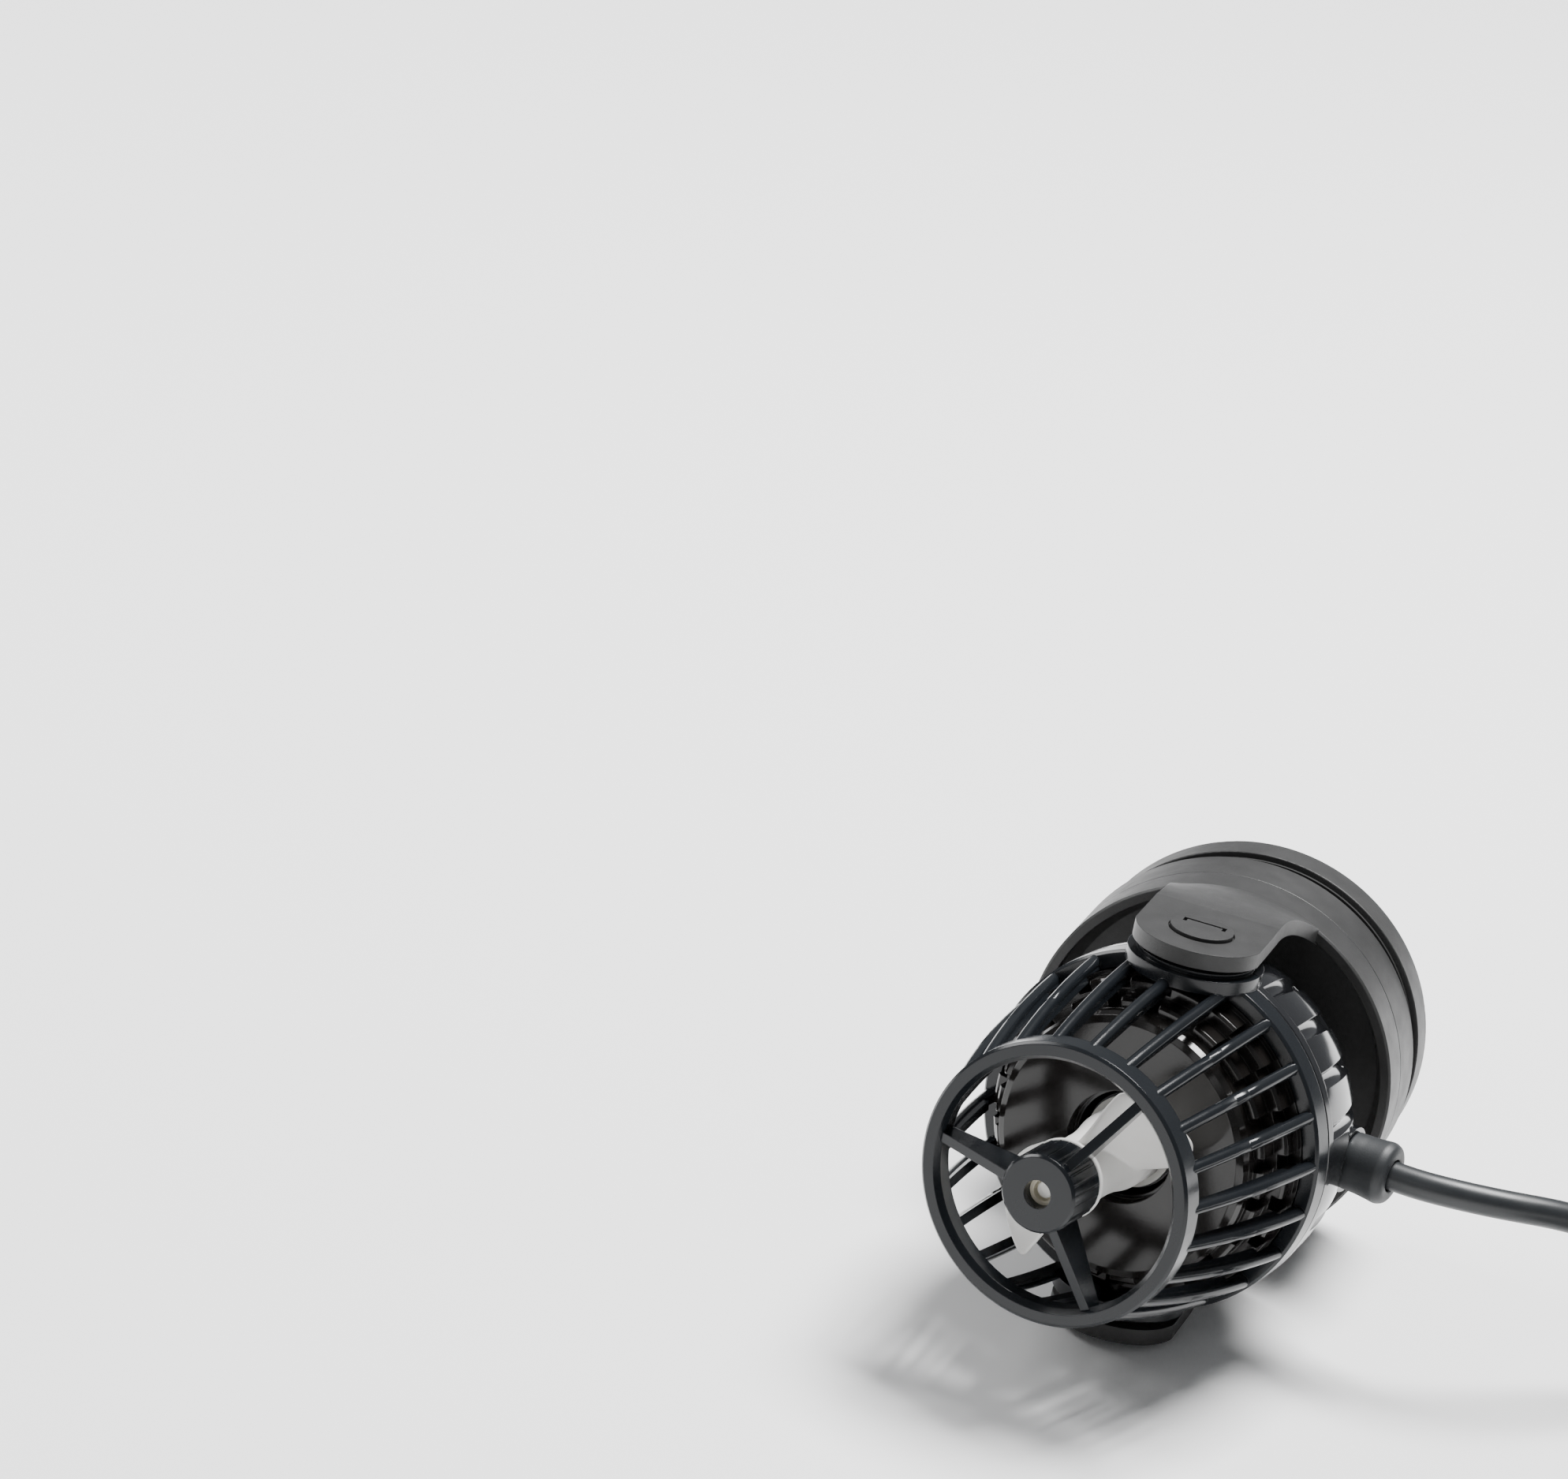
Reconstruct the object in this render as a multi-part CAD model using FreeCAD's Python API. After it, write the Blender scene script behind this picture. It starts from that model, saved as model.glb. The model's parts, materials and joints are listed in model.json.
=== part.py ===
import FreeCAD, Part
import math
import os

# Wave maker pump: a caged propeller pump held between the two arms of a yoke, on a magnet
# base whose dry half grips it through an aquarium wall. Everything is in millimetres.
#
# Pump frame: the turning axis is Y with the propeller towards -Y, the pivot that the yoke
# holds is Z, and the cable leaves towards +X. Yoke frame: the same origin, with the magnet
# base towards +Y. At rest the pump is turned PUMP_TURN about Z inside the yoke, and the
# whole object lies nose up on its lower tab and on the wet magnet's edge.

V = FreeCAD.Vector
ORIGIN = V(0, 0, 0)
X_AXIS, Y_AXIS, Z_AXIS = V(1, 0, 0), V(0, 1, 0), V(0, 0, 1)
PARTS_FOLDER = "parts"

# ---- driving dimensions: rest pose
PUMP_TURN = -11.0            # pump about the pivot axis, degrees
DRY_OFFSET_X, DRY_OFFSET_Z = 1.0, 1.8   # the loose dry half sits a little off centre

# ---- driving dimensions: cage
RIB_COUNT = 22
RIB_PITCH = 360.0 / RIB_COUNT
RIB_WIDTH, RIB_DEPTH, RIB_WEB = 2.35, 3.1, 1.7
RING_FRONT, RING_BACK = -42.8, -37.8
RING_R, RING_INNER_R = 26.05, 22.7
BAND_FRONT, BAND_R, BAND_INNER_R = -3.8, 33.45, 30.4
SEAM_Y, SEAM_GAP = 1.0, 0.1  # where cage and rear housing meet, and half of the hairline there
RIB_BULGE_Y, RIB_BULGE_R = -21.0, 30.5
HUB_FRONT, HUB_BACK, HUB_R = -48.8, -38.7, 7.25
HUB_HOLE_R, BUSH_R, BUSH_FRONT = 2.6, 3.8, -46.4
SPOKE_ANGLES, SPOKE_THICKNESS = (58.2, 178.2, 298.2), 1.8

# ---- driving dimensions: pivot between pump and yoke
BOSS_R, BOSS_STEP_R = 12.5, 10.8
BOSS_STEP_TOP, BOSS_TOP = 33.5, 34.3
POST_ROOT_R, POST_R, POST_CLEARANCE = 5.8, 4.2, 0.06
POST_ROOT_INNER_R = 30.35
WASHER_TOP, TAB_TOP, SNAP_TOP = 35.2, 38.3, 38.9
TAB_BOTTOM = 35.3
SNAP_R, CAP_POCKET, CAP_POCKET_DEPTH = 5.8, 0.3, 0.5     # gap round the cap and its pocket's depth
CAP_SLOT_LENGTH, CAP_SLOT_WIDTH, CAP_SLOT_Y = 8.0, 0.7, 2.2

# ---- driving dimensions: rear housing
FLANGE_R, FLANGE_BACK = 33.4, 3.4
HOUSING_R, HOUSING_MID_R, HOUSING_MID_Y = 33.05, 30.6, 18.0
HOUSING_BACK_R, HOUSING_BACK = 24.5, 31.0
HOUSING_WALL, SKIN = 2.2, 3.3            # at the back and round the side, flutes included
FLUTE_R, FLUTE_DEPTH = 1.9, 0.75
GLAND_Y, GLAND_R, GLAND_END_R, GLAND_END_X = 17.3, 5.4, 5.9, 40.0
GLAND_INNER_X, GLAND_BORE_R = 26.8, 4.0
GLAND_BOSS_R, GLAND_BOSS_X = 6.2, 31.2

# ---- driving dimensions: motor
MOTOR_FRONT, MOTOR_FACE_R, MOTOR_EDGE = -16.0, 24.8, 1.8    # smooth face with a rounded edge
BLOCK_ROWS = ((-12.4, 26.7), (-8.0, 29.3))                  # front and radius of each row of blocks
BLOCK_DEPTH, BLOCK_CHAMFER, BLOCK_GAP = 1.9, 0.5, 2.6
MOTOR_RIM_FRONT, MOTOR_RIM_R, MOTOR_BACK = -3.6, 30.15, 2.8
WELL_R, WELL_WALL, WELL_BACK = 9.7, 1.2, 20.0
RECESS_R = 10.4
SHAFT_R, SHAFT_FRONT, SHAFT_BACK = 1.5, -45.6, 18.4
SPIN_CLEARANCE = 0.06
MAGNET_R, MAGNET_FRONT, MAGNET_BACK = 8.9, -10.5, 15.5
SLEEVE_R = 4.0
STATOR_R, STATOR_BORE, STATOR_FRONT, STATOR_BACK = 25.4, 21.8, 4.4, 18.0
POLE_HALF_WIDTH = 5.0
BOBBIN_LOW, BOBBIN_HIGH = 12.4, 20.2
SEAL_R = 0.85

# ---- driving dimensions: propeller
BLADE_TIP_R, BLADE_MID_Y = 19.4, -28.0
# blade sections: radius, reach behind and ahead of the middle, thickness, pitch in degrees
BLADE_SECTIONS = ((5.0, 8.7, 8.7, 2.4, 58.0), (12.0, 10.2, 10.4, 1.7, 44.6), (21.0, 9.4, 12.4, 1.2, 35.0))
BLADE_CORNER_R, BLADE_CORNER_SHIFT = 11.5, 2.2     # the arc that rounds the rear outer corner
PROP_HUB_R, PROP_FOOT_R, PROP_COLLAR_R = 6.2, 7.3, 7.4
PROP_FRONT, PROP_BACK = -38.4, -11.6
PROP_TURN = 43.5             # direction of the first blade from +X towards +Z, degrees

# ---- driving dimensions: magnet base, along the yoke's Y
BASE_R, WALL, CUP_FLOOR = 35.0, 2.0, 1.4
RIM_FRONT, BOWL_FLOOR, YOKE_BACK = 35.5, 41.8, 44.0
WET_BACK, WET_FILLET = 54.8, 0.3
PAD_R, PAD_THICKNESS = 33.0, 0.8
DRY_FRONT, DRY_BACK, DRY_R, DRY_FILLET = 56.5, 65.0, 34.1, 1.8
MAGNET_DISC_R, MAGNET_PCD, MAGNET_COUNT, MAGNET_THICKNESS = 10.5, 38.0, 4, 4.5
PLATE_R, PLATE_THICKNESS = 31.0, 1.5
SEAM_CHAMFER = 0.2
ARM_HALF_WIDTH, TAB_R, ARM_THICKNESS = 11.75, 12.0, 3.0
# arm outlines: y, half width, height on the middle line, height at the flanks
ARM_SECTIONS = ((12.4, 11.75, 38.3, 38.3), (25.5, 12.3, 36.95, 36.2), (36.6, 15.0, 34.95, 31.55))

# ---- driving dimensions: cable
CABLE_R = 2.75
CABLE_START_X = 36.5         # bottom of the recess in the gland's end, pump frame
CABLE_FIRST_RUN = 6.4
CABLE_POINTS = ((53.2, 8.9, 38.7), (62.7, 11.4, 38.3), (73.5, 17.6, 36.8), (85.0, 26.8, 32.3),
                (97.0, 34.6, 24.2), (109.5, 38.6, 13.8), (122.5, 38.2, 6.4), (137.0, 33.7, 3.45))
COIL_X, COIL_Y = 132.0, -2.0
COIL_MID_R = 30.25           # three turns side by side, 11 cable diameters across their middle
COIL_LIFT = 0.7              # the tie passes under the coil
TIE_THICKNESS, TIE_WIDTH, TIE_AZIMUTH = 0.6, 9.0, -150.0
CONNECTOR_R, CONNECTOR_BACK, CONNECTOR_OUT, CONNECTOR_AZIMUTH = 6.0, 8.0, 28.5, -60.0


# ---- helpers
def polygon(points):
    return Part.Face(Part.makePolygon([V(*p) for p in points] + [V(*points[0])]))


def turned(profile):
    """Solid of revolution about Y from (y, radius) points."""
    return polygon([(r, y, 0) for y, r in profile]).revolve(ORIGIN, Y_AXIS, 360)


def disc(radius, y0, y1, x=0.0, z=0.0):
    return Part.makeCylinder(radius, y1 - y0, V(x, y0, z), Y_AXIS)


def ring(outer, inner, y0, y1):
    return disc(outer, y0, y1).cut(disc(inner, y0 - 1, y1 + 1))


def post(radius, z0, z1):
    return Part.makeCylinder(radius, z1 - z0, V(0, 0, z0), Z_AXIS)


def block(x0, x1, y0, y1, z0, z1):
    return Part.makeBox(x1 - x0, y1 - y0, z1 - z0, V(x0, y0, z0))


def about(shape, axis, angle):
    turned_copy = shape.copy()
    turned_copy.rotate(ORIGIN, axis, angle)
    return turned_copy


def around(shape, angles):
    """Copies about the pump's axis; an angle runs from +X towards +Z."""
    return [about(shape, Y_AXIS, -angle) for angle in angles]


def upside_down(shape):
    return about(shape, Y_AXIS, 180)


def fused(shapes):
    return shapes[0].multiFuse(shapes[1:]).removeSplitter()


def arc_edge(a, b, c):
    return Part.Arc(V(*a), V(*b), V(*c)).toShape()


def line_edge(a, b):
    return Part.makeLine(V(*a), V(*b))


def rod_along(arc, radius):
    """Round rod whose middle follows an arc edge."""
    start = arc.valueAt(arc.FirstParameter)
    section = Part.Face(Part.Wire(Part.makeCircle(radius, start, arc.tangentAt(arc.FirstParameter))))
    sweep = math.degrees(arc.LastParameter - arc.FirstParameter)
    return section.revolve(arc.Curve.Center, arc.Curve.Axis, sweep)


# ---- front cage
def rib():
    """One rib over +X: a round back on a thin web, following a gentle bulge."""
    half, web = RIB_WIDTH / 2, RIB_WEB / 2
    front, back = RING_BACK - 1.6, BAND_FRONT + 2.2
    r0, r1, r2 = RING_R - 1.3, RIB_BULGE_R - half, BAND_R - 1.25
    path = arc_edge((r0, front, 0), (r1, RIB_BULGE_Y, 0), (r2, back, 0))
    depth = RIB_DEPTH - half
    front_depth = depth - 0.6
    sheet = Part.Face(Part.Wire([
        arc_edge((r0, front, -web), (r1, RIB_BULGE_Y, -web), (r2, back, -web)),
        line_edge((r2, back, -web), (r2 - depth, back, -web)),
        arc_edge((r2 - depth, back, -web), (r1 - depth, RIB_BULGE_Y, -web),
                 (r0 - front_depth, front, -web)),
        line_edge((r0 - front_depth, front, -web), (r0, front, -web)),
    ]))
    tip = Part.makeSphere(half, V(r2, back, 0))
    return rod_along(path, half).fuse(sheet.extrude(V(0, 0, RIB_WEB))).fuse(tip)


def spoke():
    """One web spoke over +X, deep at the hub and shallow at the front ring."""
    half, reach = SPOKE_THICKNESS / 2, RING_INNER_R + 1.0
    outline = [(HUB_R - 1.5, HUB_FRONT + 1.6, -half), (reach, RING_FRONT + 0.9, -half),
               (reach, RING_BACK - 0.3, -half), (HUB_R - 1.5, HUB_BACK, -half)]
    return polygon(outline).extrude(V(0, 0, SPOKE_THICKNESS))


def hub():
    """Round hub with fine ridges along its side, over the front bush's pocket."""
    body = turned([(HUB_FRONT, HUB_HOLE_R), (HUB_FRONT, HUB_R - 0.5), (HUB_FRONT + 0.5, HUB_R - 0.05),
                   (HUB_BACK, HUB_R - 0.05), (HUB_BACK, BUSH_R), (BUSH_FRONT, BUSH_R),
                   (BUSH_FRONT, HUB_HOLE_R)])
    ridge = Part.makeCylinder(0.28, HUB_BACK - HUB_FRONT - 0.9, V(HUB_R - 0.2, HUB_FRONT + 0.7, 0), Y_AXIS)
    return [body] + around(ridge, range(0, 360, 15))


def boss_half(front):
    """Half of the stepped round boss that the pivot stands on; the seam splits it."""
    steps = post(BOSS_R, 30.9, BOSS_STEP_TOP).fuse(post(BOSS_STEP_R, 30.9, BOSS_TOP))
    if front:
        return steps.common(block(-20, 20, -20, SEAM_Y - SEAM_GAP, 0, 50))
    return steps.common(block(-20, 20, SEAM_Y + SEAM_GAP, 20, 0, 50))


def front_ring():
    return turned([(RING_FRONT, RING_INNER_R + 0.9), (RING_FRONT, RING_R - 0.5), (RING_FRONT + 0.5, RING_R),
                   (RING_BACK, RING_R), (RING_BACK, RING_INNER_R + 0.3), (RING_FRONT + 1.2, RING_INNER_R)])


def nose_spider():
    """Hub and its three spokes, which end on the front ring's inner wall."""
    return fused(hub() + around(spoke(), SPOKE_ANGLES)).cut(front_ring())


def front_cage():
    """Front ring, ribs and band, with half of each pivot boss."""
    back = SEAM_Y - SEAM_GAP
    band = turned([(BAND_FRONT, BAND_INNER_R), (BAND_FRONT, BAND_R - 0.5), (BAND_FRONT + 0.5, BAND_R),
                   (back - 0.2, BAND_R), (back, BAND_R - 0.2), (back, BAND_INNER_R)])
    ribs = around(rib(), [90 + k * RIB_PITCH for k in range(RIB_COUNT)])
    boss = boss_half(front=True)
    bosses = [boss, upside_down(boss)]
    body = fused([front_ring(), band] + bosses + ribs)
    slot = post(POST_ROOT_R + 0.15, 20, 50)
    body = body.cut(slot).cut(upside_down(slot))
    clear_of_motor = ring(BAND_INNER_R, BAND_INNER_R - 2.5, BAND_FRONT - 6, back + 1)
    return body.cut(clear_of_motor)


def front_bush():
    """Cream bush in the hub; it slips over the shaft, whose end shows in its front recess."""
    bore, back, recess_r, recess_back = SHAFT_R + 0.05, HUB_BACK - 0.4, SHAFT_R + 0.4, SHAFT_FRONT + 0.5
    return turned([(BUSH_FRONT, recess_r), (BUSH_FRONT, BUSH_R), (back, BUSH_R), (back, bore),
                   (recess_back, bore), (recess_back, recess_r)])


# ---- rotor
def blade():
    """One broad twisted blade over +X; its front edge lies towards +Z, its rear outer corner is round."""
    sections = []
    for radius, rear, front, thickness, pitch in BLADE_SECTIONS:
        t = thickness / 2
        corners = [(-rear, -t * 0.4), (-rear * 0.8, -t), (front * 0.8, -t), (front, -t * 0.4),
                   (front, t * 0.4), (front * 0.8, t), (-rear * 0.8, t), (-rear, t * 0.4)]
        c, s = math.cos(math.radians(pitch)), math.sin(math.radians(pitch))
        points = [V(radius, BLADE_MID_Y - s * u + c * w, c * u + s * w) for u, w in corners]
        sections.append(Part.makePolygon(points + [points[0]]))
    loft = Part.makeLoft(sections, True, True)
    middle, front, back = BLADE_TIP_R - BLADE_CORNER_R, PROP_FRONT + 2, PROP_BACK - 2
    outline = disc(BLADE_CORNER_R, front, back, x=middle, z=BLADE_CORNER_SHIFT)
    root = block(0, middle, front, back, -BLADE_CORNER_R, BLADE_CORNER_R + BLADE_CORNER_SHIFT)
    return loft.common(outline.fuse(root)).common(disc(BLADE_TIP_R, front, back))


def propeller():
    """White hub with a front collar and two opposed blades, bored to run on the shaft."""
    bore, collar_back = SHAFT_R + SPIN_CLEARANCE, PROP_FRONT + 1.7
    body = turned([(PROP_FRONT, bore), (PROP_FRONT, PROP_COLLAR_R - 0.3), (PROP_FRONT + 0.3, PROP_COLLAR_R),
                   (collar_back - 0.8, PROP_COLLAR_R), (collar_back - 0.8, PROP_COLLAR_R - 0.4),
                   (collar_back, PROP_COLLAR_R - 0.4), (collar_back, PROP_HUB_R), (-27.0, PROP_HUB_R),
                   (-23.0, PROP_HUB_R + 0.35), (-19.0, PROP_FOOT_R),
                   (PROP_BACK, PROP_FOOT_R), (PROP_BACK, bore)])
    blades = around(blade(), (PROP_TURN, PROP_TURN + 180))
    return fused([body] + blades).cut(disc(bore, PROP_FRONT - 1, PROP_BACK + 1))


def rotor_sleeve():
    """Plastic carrier inside the magnet; its front flange is the propeller's seat."""
    bore = SHAFT_R + SPIN_CLEARANCE
    return turned([(PROP_BACK, bore), (PROP_BACK, MAGNET_R - 0.4), (MAGNET_FRONT, MAGNET_R - 0.4),
                   (MAGNET_FRONT, SLEEVE_R), (MAGNET_BACK, SLEEVE_R), (MAGNET_BACK, bore)])


def rotor_magnet():
    return ring(MAGNET_R, SLEEVE_R, MAGNET_FRONT, MAGNET_BACK)


def shaft():
    return disc(SHAFT_R, SHAFT_FRONT, SHAFT_BACK)


def thrust_washer(y0):
    return ring(3.6, SHAFT_R + SPIN_CLEARANCE, y0, y0 + 0.5)


def rear_bush():
    """Rubber cup at the bottom of the well; it holds the shaft's back end."""
    return turned([(16.3, SHAFT_R), (16.3, 5.0), (WELL_BACK - 1.2, 5.0), (WELL_BACK - 1.2, 0),
                   (SHAFT_BACK, 0), (SHAFT_BACK, SHAFT_R)])


# ---- motor
def motor_housing():
    """Smooth front face and two rows of blocks behind it; the rotor well runs back from the recess."""
    edge_middle = MOTOR_EDGE * (1 - math.sqrt(0.5))
    outline = [(MOTOR_FRONT, RECESS_R), (MOTOR_FRONT, MOTOR_FACE_R - MOTOR_EDGE),
               (MOTOR_FRONT + edge_middle, MOTOR_FACE_R - edge_middle),
               (MOTOR_FRONT + MOTOR_EDGE, MOTOR_FACE_R), (BLOCK_ROWS[0][0], MOTOR_FACE_R)]
    row_backs = (BLOCK_ROWS[1][0], MOTOR_RIM_FRONT)
    for (front, r), back in zip(BLOCK_ROWS, row_backs):
        outline += [(front, r - BLOCK_CHAMFER), (front + BLOCK_CHAMFER, r), (back, r)]
    outline += [(MOTOR_RIM_FRONT, MOTOR_RIM_R), (MOTOR_BACK, MOTOR_RIM_R)]
    face_back, well_end = MOTOR_FRONT + 2.4, WELL_BACK - WELL_WALL
    inner = [(MOTOR_BACK, 27.6), (-1.0, 27.6), (-1.0, 25.6), (-6.2, 25.6), (-6.2, 22.8), (face_back, 22.8),
             (face_back, WELL_R + WELL_WALL), (WELL_BACK, WELL_R + WELL_WALL), (WELL_BACK, 0),
             (well_end, 0), (well_end, WELL_R), (face_back + 0.6, WELL_R), (face_back + 0.6, RECESS_R)]
    gaps = []
    for (front, r), back in zip(BLOCK_ROWS, row_backs):
        gap = block(r - BLOCK_DEPTH, r + 3, front - 1, back, -BLOCK_GAP / 2, BLOCK_GAP / 2)
        gaps += around(gap, [90 + (k + 0.15) * RIB_PITCH for k in range(RIB_COUNT)])
    return turned(outline + inner).cut(Part.makeCompound(gaps))


def stator_core():
    """Lamination stack: an outer ring with two pole limbs that reach in to the well."""
    core = ring(STATOR_R, STATOR_BORE, STATOR_FRONT, STATOR_BACK)
    limb = block(-POLE_HALF_WIDTH, POLE_HALF_WIDTH, STATOR_FRONT, STATOR_BACK, 0, STATOR_BORE + 1.5)
    body = fused([core, limb, upside_down(limb)])
    return body.cut(disc(WELL_R + WELL_WALL + 0.1, 0, 40))


def frame_around_limb(inner_gap, outer_gap, z0, z1):
    """Rectangular sleeve about one pole limb, between two distances from its faces."""
    def box(gap):
        half = POLE_HALF_WIDTH + gap
        return block(-half, half, STATOR_FRONT - gap, STATOR_BACK + gap, z0, z1)

    return box(outer_gap).cut(box(inner_gap))


def both_ends(shape):
    return Part.makeCompound([shape, upside_down(shape)])


def coil_bobbins():
    core = frame_around_limb(0, 0.7, BOBBIN_LOW, BOBBIN_HIGH)
    low = frame_around_limb(0, 2.6, BOBBIN_LOW, BOBBIN_LOW + 0.7)
    high = frame_around_limb(0, 2.6, BOBBIN_HIGH - 0.7, BOBBIN_HIGH)
    return both_ends(fused([core, low, high]))


def stator_coils():
    return both_ends(frame_around_limb(0.7, 2.4, BOBBIN_LOW + 0.75, BOBBIN_HIGH - 0.75))


def terminal_board():
    board = disc(21.0, 21.0, 22.6)
    return board.cut(block(-40, 40, 20, 25, 14.5, 40)).cut(block(-40, 40, 20, 25, -40, -14.5))


def potting_plug():
    back = HOUSING_BACK - HOUSING_WALL
    return turned([(23.0, 0), (23.0, 21.6), (back - 1.5, 19.9), (back, 18.4), (back, 0)])


def housing_seal():
    return Part.makeTorus(28.95, SEAL_R, V(0, MOTOR_BACK + 0.1 + SEAL_R, 0), Y_AXIS)


# ---- rear housing
def housing_shell(offset, back):
    """Solid bowl behind the seam, drawn in by an offset from the outer skin."""
    front, corner = SEAM_Y + SEAM_GAP, HOUSING_BACK_R - offset
    face = Part.Face(Part.Wire([
        line_edge((0, front, 0), (HOUSING_R - offset, front, 0)),
        line_edge((HOUSING_R - offset, front, 0), (HOUSING_R - offset, FLANGE_BACK, 0)),
        arc_edge((HOUSING_R - offset, FLANGE_BACK, 0), (HOUSING_MID_R - offset, HOUSING_MID_Y, 0),
                 (corner, back - 1.5, 0)),
        line_edge((corner, back - 1.5, 0), (corner - 1.5, back, 0)),
        line_edge((corner - 1.5, back, 0), (0, back, 0)),
        line_edge((0, back, 0), (0, front, 0)),
    ]))
    return face.revolve(ORIGIN, Y_AXIS, 360)


def flute():
    """Cutter over +X: a round-bottomed groove that follows the bowl from the flange to its back."""
    lift = FLUTE_R - FLUTE_DEPTH
    return rod_along(arc_edge((HOUSING_R + lift, FLANGE_BACK + 0.6, 0),
                              (HOUSING_MID_R + lift * 0.8, HOUSING_MID_Y, 0),
                              (HOUSING_BACK_R + lift * 0.6, HOUSING_BACK - 1.5, 0)), FLUTE_R)


def rear_housing():
    """Fluted bowl with a thin flange at the seam, the pivot posts and a boss for the cable gland."""
    front = SEAM_Y + SEAM_GAP
    flute_angles = [90 + (k + 0.5) * RIB_PITCH for k in range(RIB_COUNT)]
    clear_of_gland = [angle for angle in flute_angles if abs((angle + 180) % 360 - 180) > 14]
    skin = housing_shell(0, HOUSING_BACK).cut(Part.makeCompound(around(flute(), clear_of_gland)))
    flange = turned([(front, 0), (front, FLANGE_R - 0.2), (front + 0.2, FLANGE_R),
                     (FLANGE_BACK - 0.3, FLANGE_R), (FLANGE_BACK, FLANGE_R - 0.3), (FLANGE_BACK, 0)])
    gland_boss = Part.makeCylinder(GLAND_BOSS_R, GLAND_BOSS_X - 25, V(25, GLAND_Y, 0), X_AXIS)
    gland_face = Part.makeCylinder(GLAND_BOSS_R, 10, V(GLAND_BOSS_X, GLAND_Y, 0), X_AXIS)
    cavity = housing_shell(SKIN, HOUSING_BACK - HOUSING_WALL)
    mouth = disc(30.25, 0, MOTOR_BACK + 0.05).fuse(disc(29.9, 0, MOTOR_BACK + 2 * SEAL_R + 0.2))
    body = skin.fuse(flange).fuse(gland_boss).cut(gland_face).cut(cavity).cut(mouth)
    boss = boss_half(front=False).fuse(post(POST_ROOT_R, 30.9, BOSS_TOP))
    boss = boss.fuse(post(POST_R, 30, TAB_TOP + 0.1)).cut(disc(POST_ROOT_INNER_R, -20, 20))
    return fused([body, boss, upside_down(boss)]).cut(gland_bore())


def gland_bore():
    return Part.makeCylinder(GLAND_BORE_R, 20, V(20, GLAND_Y, 0), X_AXIS)


def cable_gland():
    """Moulded rubber boot: flared round end, recess for the cable, neck through the wall."""
    neck_r, cable_hole = GLAND_BORE_R - 0.05, CABLE_R + 0.3
    outline = [(GLAND_INNER_X, 0), (GLAND_INNER_X, neck_r), (GLAND_BOSS_X, neck_r),
               (GLAND_BOSS_X, GLAND_R + 0.4), (GLAND_BOSS_X + 1.2, GLAND_R), (36.4, GLAND_END_R - 0.25),
               (38.4, GLAND_END_R), (39.4, GLAND_END_R - 0.5), (GLAND_END_X, GLAND_END_R - 1.5),
               (GLAND_END_X, cable_hole), (CABLE_START_X, cable_hole), (CABLE_START_X, 0)]
    face = polygon([(x, GLAND_Y + r, 0) for x, r in outline])
    return face.revolve(V(0, GLAND_Y, 0), X_AXIS, 360)


# ---- yoke
def tab_plan():
    """Seen along the pivot: a round end and parallel flanks, up to where the arm starts to bend."""
    w, back = ARM_HALF_WIDTH, ARM_SECTIONS[0][0]
    tab_y = -math.sqrt(TAB_R ** 2 - w ** 2)
    return Part.Face(Part.Wire([
        arc_edge((-w, tab_y, TAB_BOTTOM), (0, -TAB_R, TAB_BOTTOM), (w, tab_y, TAB_BOTTOM)),
        line_edge((w, tab_y, TAB_BOTTOM), (w, back, TAB_BOTTOM)),
        line_edge((w, back, TAB_BOTTOM), (-w, back, TAB_BOTTOM)),
        line_edge((-w, back, TAB_BOTTOM), (-w, tab_y, TAB_BOTTOM)),
    ]))


def arm_section(y, half, crown, edge):
    """Outline of the arm at one y: flat or arched on top, square at the flanks."""
    low = -ARM_THICKNESS
    if crown == edge:
        top = line_edge((-half, y, edge), (half, y, edge))
        under = line_edge((half, y, edge + low), (-half, y, edge + low))
    else:
        top = arc_edge((-half, y, edge), (0, y, crown), (half, y, edge))
        under = arc_edge((half, y, edge + low), (0, y, crown + low), (-half, y, edge + low))
    right = line_edge((half, y, edge), (half, y, edge + low))
    left = line_edge((-half, y, edge + low), (-half, y, edge))
    return Part.Wire([top, right, under, left])


def yoke_arm():
    """Flat tab whose arm bends down and widens into the rim, with a hole for the pivot post."""
    tab = tab_plan().extrude(V(0, 0, TAB_TOP - TAB_BOTTOM))
    bend = Part.makeLoft([arm_section(*numbers) for numbers in ARM_SECTIONS], True, False)
    pocket = post(SNAP_R + CAP_POCKET, TAB_TOP - CAP_POCKET_DEPTH, TAB_TOP + 1)
    return tab.fuse(bend).cut(post(POST_R + POST_CLEARANCE, 30, 60)).cut(pocket)


def yoke():
    bowl = turned([(RIM_FRONT, BASE_R - WALL), (RIM_FRONT, BASE_R - 0.4), (RIM_FRONT + 0.4, BASE_R),
                   (YOKE_BACK - SEAM_CHAMFER, BASE_R), (YOKE_BACK, BASE_R - SEAM_CHAMFER), (YOKE_BACK, 0),
                   (BOWL_FLOOR, 0), (BOWL_FLOOR, BASE_R - WALL - 2), (BOWL_FLOOR - 2, BASE_R - WALL)])
    arm = yoke_arm()
    return fused([bowl, arm, upside_down(arm)])


def pivot_washer():
    return post(SNAP_R + 3.6, BOSS_TOP, WASHER_TOP).cut(post(POST_R + POST_CLEARANCE, 30, 40))


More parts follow.
